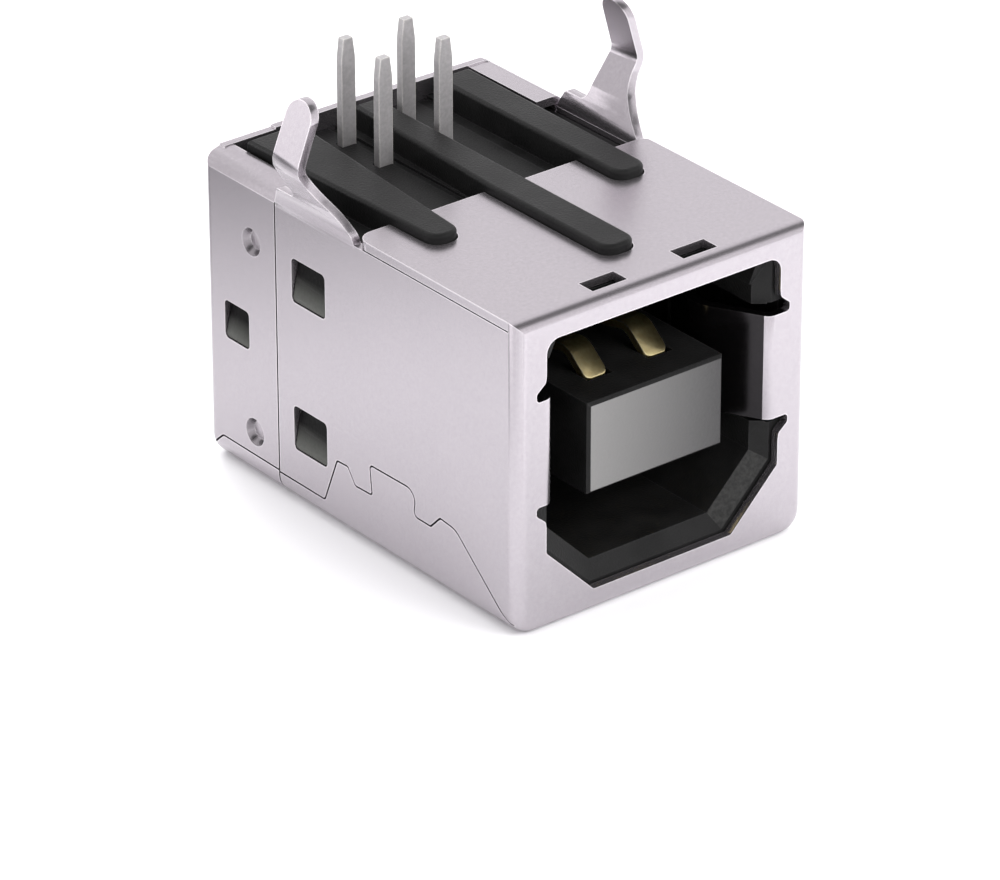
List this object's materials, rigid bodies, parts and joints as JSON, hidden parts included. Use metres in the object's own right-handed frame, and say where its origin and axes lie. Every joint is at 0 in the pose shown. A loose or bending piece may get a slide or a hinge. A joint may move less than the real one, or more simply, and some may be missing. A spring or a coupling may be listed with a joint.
{
  "type": "usb-b socket",
  "caption": "Right-angle through-hole USB-B socket: folded metal shell round a black moulded housing, with a tongue, contacts, board legs and solder tails.",
  "frame": {"origin": "middle of the whole footprint, at the level of the flat face that the socket lies on", "axes": "+X across the plug opening, to the right as seen from the front; -Y out of the plug opening, towards the plug; +Z towards the circuit board, along the legs and solder tails"},
  "size_m": [0.0144, 0.0166, 0.0154],
  "materials": {
    "shell_metal": "satin tin plated sheet steel",
    "black_plastic": "fine satin moulded black plastic",
    "contact_metal": "gold plated blade, tinned tail"
  },
  "bodies": {
    "root": {"front_shell": "shell_metal", "rear_shell": "shell_metal", "housing": "black_plastic", "contact_1": "contact_metal", "contact_2": "contact_metal", "contact_3": "contact_metal", "contact_4": "contact_metal"}
  },
  "joints": []
}
